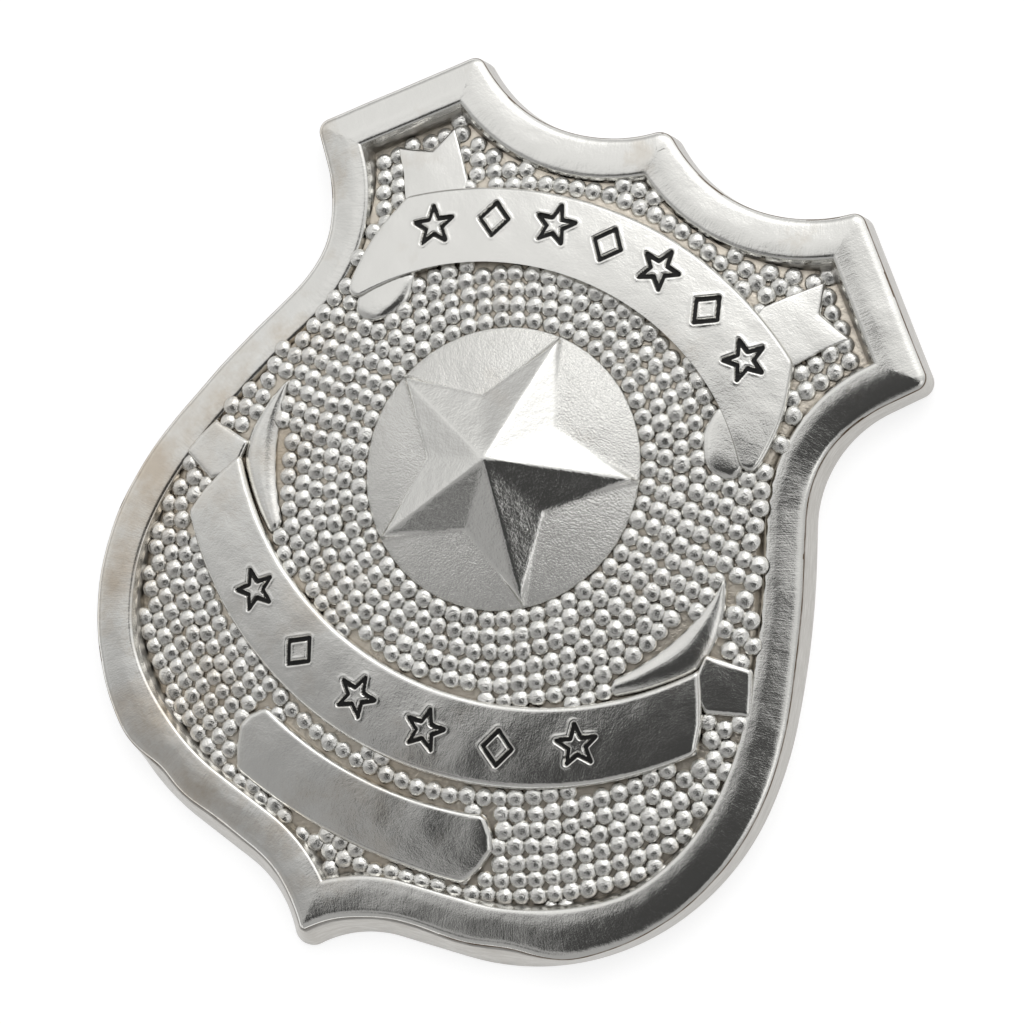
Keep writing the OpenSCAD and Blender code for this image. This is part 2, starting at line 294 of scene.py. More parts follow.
def new_piece(name, vertices, faces, material, smooth=True, runs=None):
    """A mesh that rides on the badge. Vertices are in mm with the middle of the boss at x = y = 0."""
    mesh = bpy.data.meshes.new(name)
    points = np.asarray(vertices, float) - (0, MIDDLE_Y, 0)
    mesh.from_pydata((points * MM).tolist(), [], faces)
    if runs is not None:
        corners = np.empty(len(mesh.loops), int)
        mesh.loops.foreach_get("vertex_index", corners)
        layer = mesh.uv_layers.new(name="run")
        layer.data.foreach_set("uv", (np.asarray(runs, float)[corners] * MM).ravel())
    bm = bmesh.new()
    bm.from_mesh(mesh)
    bmesh.ops.remove_doubles(bm, verts=bm.verts, dist=0.002 * MM)
    bmesh.ops.dissolve_degenerate(bm, edges=bm.edges, dist=0.001 * MM)
    bmesh.ops.recalc_face_normals(bm, faces=bm.faces)
    bm.to_mesh(mesh)
    bm.free()
    mesh.polygons.foreach_set("use_smooth", [smooth] * len(mesh.polygons))
    mesh.materials.append(material)
    piece = bpy.data.objects.new(name, mesh)
    bpy.context.collection.objects.link(piece)
    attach(piece, "root")
    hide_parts("shield")
    return piece


def loft(loops, close_rows=False, close_loops=True):
    """Vertices and quads between rows of points; rows run along the first axis."""
    rows, count = len(loops), len(loops[0])
    vertices = np.vstack(loops)
    faces = []
    for k in range(rows if close_rows else rows - 1):
        k2 = (k + 1) % rows
        for i in range(count if close_loops else count - 1):
            i2 = (i + 1) % count
            faces.append((k * count + i, k * count + i2, k2 * count + i2, k2 * count + i))
    return vertices, faces


def capped(loops):
    """Vertices and faces of a body over rows of points, closed at both ends."""
    vertices, faces = loft(loops)
    count = len(loops[0])
    return vertices, faces + [list(range(count)), [len(vertices) - 1 - k for k in range(count)]]


def keep_creases(piece, degrees):
    """Marks edges sharper than the angle, so that smooth shading stops there."""
    bm = bmesh.new()
    bm.from_mesh(piece.data)
    limit = math.radians(degrees)
    for edge in bm.edges:
        edge.smooth = len(edge.link_faces) == 2 and edge.calc_face_angle(0) < limit
    bm.to_mesh(piece.data)
    bm.free()


# Materials


def add(tree, kind, settings=None, links=None):
    """One shader node with its settings. Its links come from sockets, or from nodes' first outputs."""
    node = tree.nodes.new("ShaderNode" + kind)
    for name, value in (settings or {}).items():
        if isinstance(name, int) or name in node.inputs:
            node.inputs[name].default_value = value
        else:
            setattr(node, name, value)
    for name, source in (links or {}).items():
        tree.links.new(getattr(source, "outputs", [source])[0], node.inputs[name])
    return node


def blank_material(name):
    """An empty material, its node tree, and the object's own coordinates as a socket of it."""
    material = bpy.data.materials.new(name)
    material.use_nodes = True
    tree = material.node_tree
    tree.nodes.clear()
    return material, tree, add(tree, "TexCoord").outputs["Object"]


# Finishes of the plate. Grain and waves are a size and a depth in mm, streak is a depth in mm, and film
# is the most tarnish. The brown darkening, partly real deposit and partly painted shade, follows how open a
# corner is,
# from 0 to 1: where it begins and where it is thickest.
PLATES = {
    # Strokes of the file catch the light in short bright lines across the rim.
    "filed rim": dict(roughness=0.09, grain=(0.12, 0.008), waves=(1.6, 0.03), streak=0.009, film=0.5),
    # Rough and matt, so that the ground stays quieter than the beads on it.
    "ground between beads": dict(roughness=0.3, grain=(0.3, 0.06), film=0.5, dirt_and_shade=(0.8, 0.2), base="dull"),
    # Bright and slightly pitted, so that every bead breaks the reflections up its own way; it browns as
    # painted shade near its foot and neighbours.
    "bright beads": dict(roughness=0.06, grain=(0.16, 0.01), waves=(0.34, 0.075), film=0.25, dirt_and_shade=(0.5, 0.1)),
    # Smooth facets, each of which mirrors one part of the studio.
    "cast star": dict(roughness=0.1, grain=(0.18, 0.018)),
    # Grains of the mould sparkle on the boss.
    "sandy boss": dict(roughness=0.12, grain=(0.15, 0.085)),
    # A softer brush than the rim's file leaves the ribbons nearly flat and mirror-like.
    "brushed ribbon": dict(roughness=0.1, grain=(0.12, 0.013), waves=(1.6, 0.04), streak=0.005, film=0.3),
}


def nickel_plate(
    name, finish, roughness, grain, base="nickel", waves=(1.6, 0.06), streak=0.0, film=0.2, dirt_and_shade=(0.5, 0.12)
):
    """Bright nickel over die-cast zinc: nearly white metal that mirrors the room a little softly."""
    material, tree, point = blank_material(name)
    # Handling leaves a warm film in patches of several millimetres, most on the left side of the rim.
    cloud = {"Scale": 1 / (6 * MM), "Detail": 6, "Roughness": 0.65}
    patches = add(tree, "TexNoise", cloud, {"Vector": point})
    place = add(tree, "VectorMath", {"operation": "DOT_PRODUCT", 1: (-0.85, -0.5, 0)}, {0: point})
    leftwards = {"From Min": 0.0, "From Max": 0.026, "To Min": -0.12, "To Max": 0.1}
    handled = add(tree, "MapRange", leftwards, {"Value": place.outputs["Value"]})
    worn = add(tree, "Math", {"operation": "ADD"}, {0: patches, 1: handled})
    tarnished = {"From Min": 0.48, "From Max": 0.75, "To Max": film}
    film_share = add(tree, "MapRange", tarnished, {"Value": worn})
    warm = {"data_type": "RGBA", 6: (*getattr(finish, base), 1), 7: (*finish.tarnish, 1)}
    filmed = add(tree, "Mix", warm, {0: film_share})
    # Corners between beads and beside the raised shapes turn brown: partly real deposit, partly painted
    # shade.
    corner = add(tree, "AmbientOcclusion", {"Distance": 0.35 * MM, "samples": 6})
    filled = {"From Min": dirt_and_shade[0], "From Max": dirt_and_shade[1], "To Min": 0.0, "To Max": 0.8}
    dirt_and_shade_share = add(tree, "MapRange", filled, {"Value": corner.outputs["AO"]})
    grime_and_shade_colour = {"data_type": "RGBA", 7: (*finish.grime_and_shade, 1)}
    plate_with_dirt_and_shade = add(tree, "Mix", grime_and_shade_colour, {0: dirt_and_shade_share, 6: filmed.outputs[2]})
    # The casting is never quite flat, and its skin has a fine grain.
    bump = None
    for size, depth in (waves, grain):
        uneven = {"Scale": 1 / (size * MM), "Detail": 4, "Roughness": 0.6}
        hills = add(tree, "TexNoise", uneven, {"Vector": point})
        below = {"Normal": bump} if bump else {}
        bump = add(tree, "Bump", {"Strength": 1, "Distance": depth * MM}, {"Height": hills, **below})
    if streak:
        # File strokes run across the rim and the ribbons: long over the width, close together along the run.
        run = add(tree, "UVMap", {"uv_map": "run"})
        strokes_mm = {"Scale": (1 / (0.13 * MM), 1 / (1.8 * MM), 1), "Rotation": (0, 0, 0.2)}
        stretch = add(tree, "Mapping", strokes_mm, {"Vector": run})
        uneven = {"Scale": 1, "Detail": 4, "Roughness": 0.7, "Distortion": 0.3}
        strokes = add(tree, "TexNoise", uneven, {"Vector": stretch})
        filed = {"Strength": 1, "Distance": streak * MM}
        bump = add(tree, "Bump", filed, {"Height": strokes, "Normal": bump})
    # Tarnish is duller than the bright plate.
    span = {"From Min": 0.3, "From Max": 0.7, "To Min": roughness - 0.04, "To Max": roughness + 0.06}
    gloss = add(tree, "MapRange", span, {"Value": patches})
    sources = {"Base Color": plate_with_dirt_and_shade.outputs[2], "Roughness": gloss, "Normal": bump}
    metal = add(tree, "BsdfPrincipled", {"Metallic": 1.0}, sources)
    add(tree, "OutputMaterial", None, {"Surface": metal})
    return material


def cast_side(finish, name, hex_colour, roughness):
    """Casting as it left the mould: dull grey metal with fine lines along the parting; on the side wall its
    darker tone is partly painted shade.
    """
    material, tree, point = blank_material(name)
    stretch = add(tree, "Mapping", {"Scale": (1, 1, 9)}, {"Vector": point})
    uneven = {"Scale": 1 / (1.4 * MM), "Detail": 5, "Roughness": 0.65}
    lines = add(tree, "TexNoise", uneven, {"Vector": stretch})
    share = add(tree, "MapRange", {"From Min": 0.42, "From Max": 0.75, "To Max": 0.5}, {"Value": lines})
    tones = {"data_type": "RGBA", 6: (*linear(hex_colour), 1), 7: (*finish.nickel, 1)}
    tone = add(tree, "Mix", tones, {0: share})
    bump = add(tree, "Bump", {"Strength": 1, "Distance": 0.03 * MM}, {"Height": lines})
    skin = {"Metallic": 1.0, "Roughness": roughness}
    metal = add(tree, "BsdfPrincipled", skin, {"Base Color": tone.outputs[2], "Normal": bump})
    add(tree, "OutputMaterial", None, {"Surface": metal})
    return material


def speckled(name, body, speck_mm, detail, gloss_range, depth_mm, stretch=(1, 1, 1)):
    """A body of one colour, whose gloss and surface vary with one fine noise."""
    material, tree, point = blank_material(name)
    stretched = add(tree, "Mapping", {"Scale": stretch}, {"Vector": point})
    specks = add(tree, "TexNoise", {"Scale": 1 / (speck_mm * MM), "Detail": detail}, {"Vector": stretched})
    span = {"From Min": 0.3, "From Max": 0.7, "To Min": gloss_range[0], "To Max": gloss_range[1]}
    gloss = add(tree, "MapRange", span, {"Value": specks})
    bump = add(tree, "Bump", {"Strength": 1, "Distance": depth_mm * MM}, {"Height": specks})
    surface = add(tree, "BsdfPrincipled", body, {"Roughness": gloss, "Normal": bump})
    add(tree, "OutputMaterial", None, {"Surface": surface})
    return material


def black_enamel(finish):
    """Stove enamel rubbed into the punched marks: deep black with a dull gloss and pinholes."""
    paint = {"Base Color": (*finish.enamel, 1), "IOR": 1.4}
    specks = dict(speck_mm=0.15, detail=4, gloss_range=(0.4, 0.7), depth_mm=0.05)
    return speckled("black stove enamel", paint, **specks)


def drawn_steel(finish):
    """Plain drawn steel of the pin: grey metal with fine lines along its length."""
    wire = {"Base Color": (*finish.steel, 1), "Metallic": 1.0}
    lines = dict(speck_mm=0.08, detail=3, gloss_range=(0.25, 0.45), depth_mm=0.004)
    return speckled("drawn steel", wire, **lines, stretch=(0.03, 1, 1))


# Relief patches


def circle_arc(centre_y, radius, x_from, x_to, count, top=True, centre_x=0.0):
    """Points of an upright circle from one x to another, on its upper or lower side."""
    first, last = (math.asin((x - centre_x) / radius) for x in (x_from, x_to))
    turns = np.linspace(first, last, count)
    side = 1 if top else -1
    return np.stack([centre_x + radius * np.sin(turns), centre_y + side * radius * np.cos(turns)], 1)


def rounded(points, steps=8):
    """A smooth row through the given corners."""
    points = np.asarray(points, float)
    padded = np.vstack([2 * points[0] - points[1], points, 2 * points[-1] - points[-2]])
    row = []
    for a, b, c, d in zip(padded, padded[1:], padded[2:], padded[3:]):
        square, cube = 2 * a - 5 * b + 4 * c - d, 3 * b - a - 3 * c + d
        row += [0.5 * (2 * b + (c - a) * t + square * t**2 + cube * t**3) for t in np.arange(steps) / steps]
    return np.vstack([row, points[-1]])


def row_length(points):
    return float(np.hypot(*np.diff(points, axis=0).T).sum())


def resample(points, at):
    """A row of points taken at shares of its length."""
    steps = np.r_[0, np.cumsum(np.hypot(*np.diff(points, axis=0).T))]
    at = np.asarray(at) * steps[-1]
    return np.stack([np.interp(at, steps, points[:, 0]), np.interp(at, steps, points[:, 1])], 1)


def shares(span, spacing, edge):
    """Places across a span: close together near both ends, even between them."""
    near = edge * np.array([0.0, 0.03, 0.1, 0.2, 0.33, 0.48, 0.65, 0.82, 1.0])
    middle = np.linspace(edge, span - edge, max(2, math.ceil((span - 2 * edge) / spacing) + 1))[1:-1]
    return np.r_[near, middle, span - near[::-1]] / span


def relief(name, edges, height, casting, material, spacing, soft, crown=0.06, shape=None):
    """A raised shape between four edges, with rounded shoulders and walls that go down into the field."""
    low, high, left, right = (np.asarray(edge, float) for edge in edges)
    crown_run, crown_base, unevenness, foot_depth = 1.5, 0.6, 0.02, 0.35
    span_s = (row_length(low) + row_length(high)) / 2
    span_t = (row_length(left) + row_length(right)) / 2
    s, t = shares(span_s, spacing, soft), shares(span_t, spacing, soft)
    bottom, top, side_a, side_b = resample(low, s), resample(high, s), resample(left, t), resample(right, t)
    ss, tt = s[None, :, None], t[:, None, None]
    flat = (1 - tt) * bottom[None] + tt * top[None] + (1 - ss) * side_a[:, None] + ss * side_b[:, None]
    corners = (1 - ss) * (1 - tt) * bottom[0] + ss * (1 - tt) * bottom[-1]
    flat -= corners + (1 - ss) * tt * top[0] + ss * tt * top[-1]
    x, y = flat[..., 0], flat[..., 1]
    edge_s = np.minimum(s, 1 - s)[None, :] * span_s
    edge_t = np.minimum(t, 1 - t)[:, None] * span_t
    # Both shoulders are rounded, and their meeting corner is rounder still.
    gap_s, gap_t = np.maximum(soft - edge_s, 0), np.maximum(soft - edge_t, 0)
    gap = np.minimum(np.hypot(gap_s, gap_t), soft)
    lift = height - (soft - np.sqrt(soft**2 - gap**2))
    across = 1 - (2 * t[:, None] - 1) ** 2
    along = np.minimum(edge_s / crown_run, 1)
    lift = lift + crown * (across * along * (2 - along) - crown_base) + unevenness * ripple(x, y, 3.2, 3)
    if shape is not None:
        lift = lift + shape(x, y)
    grid = np.stack([x, y, casting.field_z(x, y) + lift], -1)
    rows, columns = grid.shape[:2]
    vertices, faces = loft(list(grid), close_loops=False)
    border = (
        [(0, i) for i in range(columns)]
        + [(k, columns - 1) for k in range(1, rows)]
        + [(rows - 1, i) for i in range(columns - 2, -1, -1)]
        + [(k, 0) for k in range(rows - 2, 0, -1)]
    )
    base, count = len(vertices), len(border)
    foot = np.array([grid[k, i] for k, i in border])
    foot[:, 2] = casting.field_z(foot[:, 0], foot[:, 1]) - foot_depth
    vertices = np.vstack([vertices, foot])
    for j, (k, i) in enumerate(border):
        k2, i2 = border[(j + 1) % count]
        faces.append((k * columns + i, base + j, base + (j + 1) % count, k2 * columns + i2))
    faces.append([base + j for j in range(count)])
    runs = np.stack(np.broadcast_arrays(s[None, :] * span_s, t[:, None] * span_t), -1).reshape(-1, 2)
    runs = np.vstack([runs, [(s[i] * span_s, t[k] * span_t) for k, i in border]])
    piece = new_piece(name, vertices, faces, material, runs=runs)
    keep_creases(piece, 60)
    return piece


# Marks

# Half the width of a mark's stroke and of its groove at the top, and a mark's size, in mm.
STROKE, GROOVE, MARK_SIZE = 0.15, 0.2, 1.5


def mark_line(kind, size):
    """The middle line of one mark's stroke, as a closed row of points round the origin."""
    if kind == "star":
        return np.array([(size if i % 2 == 0 else 0.42 * size) * heading(90 + 36 * i) for i in range(10)])
    wide = 0.72 * size
    return np.array([(wide, 0), (0, 1.15 * wide), (-wide, 0), (0, -1.15 * wide)])


def placed_marks(places, centre_y, upright):
    """Every mark of a ribbon turned to stand across it."""
    lines = []
    for x, y, kind in places:
        turn = math.atan2(y - centre_y, x) - math.radians(90) * upright
        cos, sin = math.cos(turn), math.sin(turn)
        lines.append(mark_line(kind, MARK_SIZE) @ np.array([[cos, sin], [-sin, cos]]) + (x, y))
    return lines


def punched(lines, depth):
    """Height change where a punch has pressed the marks: a groove with a raised burr on both sides."""

    def shape(x, y):
        points = np.stack([x.ravel(), y.ravel()], 1)
        nearest = np.full(len(points), 9.0)
        for line in lines:
            close = np.hypot(*(points - line.mean(0)).T) < 2 * MARK_SIZE
            nearest[close] = np.minimum(nearest[close], edge_distance(points[close], line))
        wall, burr_height, burr_gap, burr_width = 0.11, 0.035, 0.15, 0.1
        groove = smooth_step(GROOVE - nearest, 0, wall)
        burr = np.exp(-(((nearest - STROKE - burr_gap) / burr_width) ** 2))
        burr = burr * (0.8 + 0.4 * ripple(*points.T, 1.1, 8))
        return (burr_height * burr - depth * groove).reshape(x.shape)

    return shape


def enamel_fill(name, lines, height, casting, material):
    """Thin black bodies that lie in the grooves."""
    vertices, faces, thick, sharpest = [], [], 0.15, 0.35
    for line in lines:
        before, after = np.roll(line, 1, 0), np.roll(line, -1, 0)
        d1 = (line - before) / np.hypot(*(line - before).T)[:, None]
        d2 = (after - line) / np.hypot(*(after - line).T)[:, None]
        n1 = np.stack([-d1[:, 1], d1[:, 0]], 1)
        n2 = np.stack([-d2[:, 1], d2[:, 0]], 1)
        mitre = (n1 + n2) / np.maximum(1 + (n1 * n2).sum(1), sharpest)[:, None]
        rows = []
        for side, lift in ((1, 0), (-1, 0), (-1, -thick), (1, -thick)):
            flat = line + side * GROOVE * mitre
            rows.append(np.c_[flat, casting.field_z(flat[:, 0], flat[:, 1]) + height + lift])
        ring, quads = loft(rows, close_rows=True)
        faces += [tuple(len(vertices) + v for v in quad) for quad in quads]
        vertices += ring.tolist()
    return new_piece(name, vertices, faces, material, smooth=False)


# Operators


def sizes_of(context):
    return Casting(context.scene.badge_sizes)


def plate(context, finish_name):
    """Nickel plate in one of its finishes, made when it is first asked for."""
    name = "nickel plate, " + finish_name
    made = bpy.data.materials.get(name)
    return made or nickel_plate(name, context.scene.badge_finish, **PLATES[finish_name])


class BADGE_OT_rim(bpy.types.Operator):
    """Cushion-shaped rim with its drafted side wall, flat back and inner wall"""

    bl_idname = "badge.rim"
    bl_label = "Rim"

    def execute(self, context):
        c = sizes_of(context)
        x, y = OUTLINE[:, 0], OUTLINE[:, 1]
        steps = np.hypot(*np.diff(OUTLINE[:, :2], axis=0, append=OUTLINE[:1, :2]).T)
        run = np.r_[0, np.cumsum(steps)[:-1]]
        crease = c.crease_inset(x, y) * (1 + 0.1 * ripple(x, y, 5, 11))
        reach = c.rim_reach(y)
        # Rows of distance inwards and height, from the foot of the side wall over the crest to the back.
        rows = [(0 * crease, 0.0), (0.02 * crease, 0.25), (0.3 * crease, 0.9), (0.6 * crease, 1.5)]
        rows += [(0.82 * crease, 1.9), (0.9 * crease, 1.98), (0.97 * crease, 2.0), (crease, 2.03)]
        # Beyond the crest the rim slopes outwards nearly straight, down to a rounded shoulder.
        crest, shoulder, inner = 0.68, 0.2, 0.11
        flat_point = (1 - smooth_step(np.abs(x), 5, 12)) * (1 - smooth_step(y, -32, -26))
        outer_shares = (0.006, 0.018, 0.034, 0.054, 0.08, 0.11, 0.145, 0.185, 0.23, 0.3, 0.38, 0.46, 0.53)
        for share in (*outer_shares, 0.59, 0.64, 0.69, 0.74, 0.8, 0.86, 0.9, 0.94, 0.965, 0.985, 1.0):
            fall = crest - share
            drop = (0.195 - 0.1 * flat_point) * (fall + math.hypot(fall, 0.12))
            drop = drop + 0.07 * (max(fall, 0) / crest) ** 2
            drop = drop + 0.22 * (max(shoulder - share, 0) / shoulder) ** 2.4
            drop = drop + 0.12 * (max(share - 1 + inner, 0) / inner) ** 3
            rows.append((crease + share * (reach - crease), c.rim_height - drop))
        top_rows = range(8, len(rows))
        end = c.rim_height
        rows += [(reach + 0.03, end - 0.2), (reach + 0.1, end - 0.32), (reach + 0.22, end - 0.52)]
        rows += [(reach + 0.5, end - 1.2), (reach + 0.7, end - 1.8), (reach + 0.7, 0.0), (reach * 0.5, 0.0)]
        loops, runs = [], []
        for k, (distance, z) in enumerate(rows):
            flat = inset(OUTLINE, distance)
            height = np.broadcast_to(z, len(flat)).astype(float)
            if k in top_rows:
                height += 0.012 * ripple(*flat.T, 4.5, 5) + 0.005 * ripple(*flat.T, 1.3, 6) - 0.01
            loops.append(np.c_[flat, height])
            runs.append(np.c_[run, np.broadcast_to(distance, len(run))])
        vertices, faces = loft(loops, close_rows=True)
        finish = plate(context, "filed rim")
        piece = new_piece("shield_rim", vertices, faces, finish, runs=np.vstack(runs))
        keep_creases(piece, 45)
        # The side wall keeps its cast skin, and the crease above it is coloured dark brown.
        colours = context.scene.badge_finish
        # The side wall's darker grey is partly its duller cast skin and partly painted shade for the dim room
        # it would mirror.
        piece.data.materials.append(cast_side(colours, "bare cast side with painted shade", "B4B1AC", 0.3))
        piece.data.materials.append(cast_side(colours, "dark brown in the crease", "5E4C39", 0.5))
        wall_top, crease_top = 2.0, 2.1
        for face in piece.data.polygons:
            level = face.center.z / MM
            in_crease = level > wall_top and face.normal.z > 0.1
            face.material_index = 0 if level > crease_top else 2 if in_crease else 1
        return {"FINISHED"}


class BADGE_OT_field(bpy.types.Operator):
    """Domed sheet of the casting that carries the beads and hollows the back"""

    bl_idname = "badge.field"
    bl_label = "Domed Field"

    def execute(self, context):
        c = sizes_of(context)
        reach = c.rim_reach(OUTLINE[:, 1])
        middle = np.array([0, FIELD_Y])
        inner = inset(OUTLINE, reach + 0.9)
        loops = []
        for share in np.linspace(0.02, 1, 24):
            flat = middle + (inner - middle) * share
            loops.append(np.c_[flat, c.field_z(flat[:, 0], flat[:, 1])])
        # Beside the rim the field dips into a narrow groove where it would stand above it.
        for step, ceiling in ((0.7, 9), (0.5, 9), (0.36, 2.5), (0.22, 2.2), (0.05, 2.1), (-0.3, 2.1)):
            flat = inset(OUTLINE, reach + step)
            loops.append(np.c_[flat, np.minimum(c.field_z(flat[:, 0], flat[:, 1]), ceiling)])
        edge = loops[-1][:, :2]
        under = []
        for share in np.linspace(1, 0.02, 16):
            flat = middle + (edge - middle) * share
            under.append(np.c_[flat, np.maximum(c.field_z(flat[:, 0], flat[:, 1], -c.wall), 0.02)])
        piece = new_piece("shield_field", *capped(loops + under), plate(context, "ground between beads"))
        keep_creases(piece, 50)
        return {"FINISHED"}


def open_places(places, c):
    """Those places that lie under neither the rim nor a raised shape."""
    depth = edge_distance(places, OUTLINE[:, :2])
    free = inside(places, OUTLINE[:, :2]) & (depth > c.wall_inset(places[:, 0], places[:, 1]))
    for loop, gap in raised_loops(c):
        reach = edge_distance(places, loop)
        free &= np.where(inside(places, loop), -reach, reach) > gap
    return places[free]


def bead_places(c):
    """Middles of the beads, in rings round the boss."""
    first = c.boss_radius + 0.575
    rings = np.arange(first, 34, c.ring_pitch)
    places = []
    for j, radius in enumerate(rings):
        count = int(2 * math.pi * radius / c.bead_pitch)
        places += [radius * heading(90 + 360 * (k + (j % 2) / 2) / count) for k in range(count)]
    kept = open_places(np.array(places), c)
    # Odd beads fill what the rings leave open.
    step = 0.2
    across, up = np.meshgrid(np.arange(-HALF_WIDTH, HALF_WIDTH, step), np.arange(-36, 30, step))
    spare = open_places(np.stack([across.ravel(), up.ravel()], 1), c)
    room = np.min([np.hypot(*(spare - place).T) for place in kept], axis=0)
    while room.max() > 0.9 * c.bead_pitch:
        place = spare[np.argmax(room > 0.9 * c.bead_pitch)]
        kept = np.vstack([kept, place])
        room = np.minimum(room, np.hypot(*(spare - place).T))
    return kept


class BADGE_OT_beads(bpy.types.Operator):
    """Field of beads in rings round the boss"""

    bl_idname = "badge.beads"
    bl_label = "Beads"

    def execute(self, context):
        c = sizes_of(context)
        places = bead_places(c)
        chance = np.random.default_rng(7)
        latitudes = np.radians((2, 18, 34, 50, 65, 79))
        segments, rings = 20, len(latitudes)
        turns = np.arange(segments) * 2 * math.pi / segments
        dome = [
            np.c_[np.cos(a) * np.cos(turns), np.cos(a) * np.sin(turns), np.full(segments, np.sin(a))]
            for a in latitudes
        ]
        shell, quads = loft(dome)
        shell = np.vstack([shell, (0, 0, 1)])
        round_turn = np.r_[np.tile(turns, rings), 0]
        top = (rings - 1) * segments
        caps = [(top + i, top + (i + 1) % segments, rings * segments) for i in range(segments)]
        one = quads + caps + [tuple(range(segments - 1, -1, -1))]
        finish = plate(context, "bright beads")
        # Two pieces of like size, parted at a radius in mm.
        near = np.hypot(places[:, 0], places[:, 1]) < 19.5
        for name, chosen in (("beads_round_boss", places[near]), ("beads_beside_rim", places[~near])):
            vertices, faces = [], []
            for n, (x, y) in enumerate(chosen):
                x, y = (x, y) + np.clip(chance.normal(0, 0.045, 2), -0.09, 0.09)
                radius = c.bead / 2 * (1 + np.clip(chance.normal(0, 0.04), -0.08, 0.07))
                z = c.field_z(x, y) + chance.normal(0, 0.025) - 0.02
                body = shell * (radius, radius, 0.68 * radius)
                # Each bead is a little lobed and leans its own way, as cast beads do.
                for lobes, depth in ((2, 0.02), (3, 0.008)):
                    swell = chance.normal(0, depth)
                    swell = swell * np.cos(lobes * round_turn + chance.uniform(0, 2 * math.pi))
                    body[:, :2] *= 1 + swell[:, None]
                body[:, :2] += body[:, 2:] * chance.normal(0, 0.07, 2)
                body[:, 2] += 0.03 * shell[:, 2] * ripple(x + body[:, 0], y + body[:, 1], 0.8, 9)
                vertices.append(body + (x, y, z))
                faces += [tuple(n * len(shell) + v for v in face) for face in one]
            piece = new_piece(name, np.vstack(vertices), faces, finish)
            keep_creases(piece, 70)
        return {"FINISHED"}


def on_boss(points, c):
    """Points of the boss, which stands square on the sloping field at the origin."""
    cos, sin = math.cos(c.boss_tilt), math.sin(c.boss_tilt)
    x, y, z = np.asarray(points, float).T
    return np.c_[x, y * cos + z * sin, c.field_z(0.0, 0.0) - y * sin + z * cos]


def off_boss(points, c):
    """The boss's own x and y of points in the badge's frame."""
    x, y, z = (points - (0, 0, c.field_z(0.0, 0.0))).T
    return x, y * math.cos(c.boss_tilt) - z * math.sin(c.boss_tilt)


def soft_max(a, b, blend):
    return 0.5 * (a + b + np.sqrt((a - b) ** 2 + blend**2))


def star_height(x, y, c):
    """Height of the star's facets, with worn ridges, shallow valleys and steep sides outside its outline."""
    tip_z, inner_r, inner_z = 0.54, 5.2, 1.45
    slope = (c.star_rise - tip_z) / c.star_radius
    inner = inner_r * heading(36)
    fall = (c.star_rise - slope * inner[0] - inner_z) / inner[1]
    angle = np.arctan2(y, x) - math.radians(90)
    folded = np.abs((angle + math.radians(36)) % math.radians(72) - math.radians(36))
    r = np.hypot(x, y)
    along, across = r * np.cos(folded), r * np.sin(folded)
    worn = 0.14 + 0.06 * ripple(x, y, 3.0, 21)
    ridge = np.sqrt(across**2 + worn**2)
    valley = r * np.sin(math.radians(36) - folded)
    lift = 0.1 * (np.sqrt(valley**2 + 0.3**2) - valley)
    outward = inner[0] - c.star_radius, inner[1]
    size = math.hypot(*outward)
    outside = ((along - c.star_radius) * outward[1] - across * outward[0]) / size
    side = 0.06 * np.logaddexp(0, (outside + 0.03) / 0.06)
    return c.star_rise - slope * np.hypot(along, 0.25) - fall * ridge + lift - 2.2 * side


class BADGE_OT_star(bpy.types.Operator):
    """Round domed boss with the five-pointed star cast on it"""

    bl_idname = "badge.star"
    bl_label = "Boss and Star"

    def execute(self, context):
        c = sizes_of(context)
        edge_z = -0.08
        sag = c.boss_rise - edge_z
        radius = (c.boss_radius**2 + sag**2) / 2 / sag
        count = 400
        turns = np.arange(count) * 2 * math.pi / count
        rings = []
        # The last three rings round the boss's edge off: distance from it and how far each falls, in mm.
        edge = {0.12: 0.01, 0.06: 0.04, 0.02: 0.1}
        inner = [(r, 0) for r in (0.05, *np.arange(0.15, c.boss_radius - 0.15, 0.115))]
        for r, fall in inner + [(c.boss_radius - gap, fall) for gap, fall in edge.items()]:
            x, y = r * np.cos(turns), r * np.sin(turns)
            dome = np.full(count, c.boss_rise - radius + math.sqrt(radius**2 - r * r))
            dome += 0.03 * ripple(x, y, 4.0, 31) + 0.008 * ripple(x, y, 0.9, 32)
            z = soft_max(dome, star_height(x, y, c), 0.12) - fall
            rings.append(on_boss(np.c_[x, y, z], c))
        for z in (edge_z - 0.2, -0.9):
            foot = c.boss_radius * np.c_[np.cos(turns), np.sin(turns)]
            rings.append(on_boss(np.c_[foot, np.full(count, z)], c))
        piece = new_piece("boss_and_star", *capped(rings), plate(context, "cast star"))
        piece.data.materials.append(plate(context, "sandy boss"))
        centres = np.array([face.center for face in piece.data.polygons]) / MM + (0, MIDDLE_Y, 0)
        x, y = off_boss(centres, c)
        outside = star_height(x, y, c) < c.boss_rise - radius + np.sqrt(radius**2 - x**2 - y**2)
        piece.data.polygons.foreach_set("material_index", outside.astype(int))
        keep_creases(piece, 60)
        return {"FINISHED"}


# Edges are the low, high, left and right one of a raised shape, as rows of (x, y) in mm.


def band(low, high, side):
    """Edges of a shape between two arcs, whose left end mirrors its right one."""
    side = np.array(side)
    side[0], side[-1] = low[-1], high[-1]
    return low, high, side * (-1, 1), side


def upper_edges():
    side = rounded([(15.8, 7.0), (16.55, 6.95), (17.05, 7.5), (17.2, 9.5), (17.0, 12.0), (16.1, 15.2)])
    return band(circle_arc(*UPPER_IN, -15.8, 15.8, 90), circle_arc(*UPPER_OUT, -16.1, 16.1, 90), side)


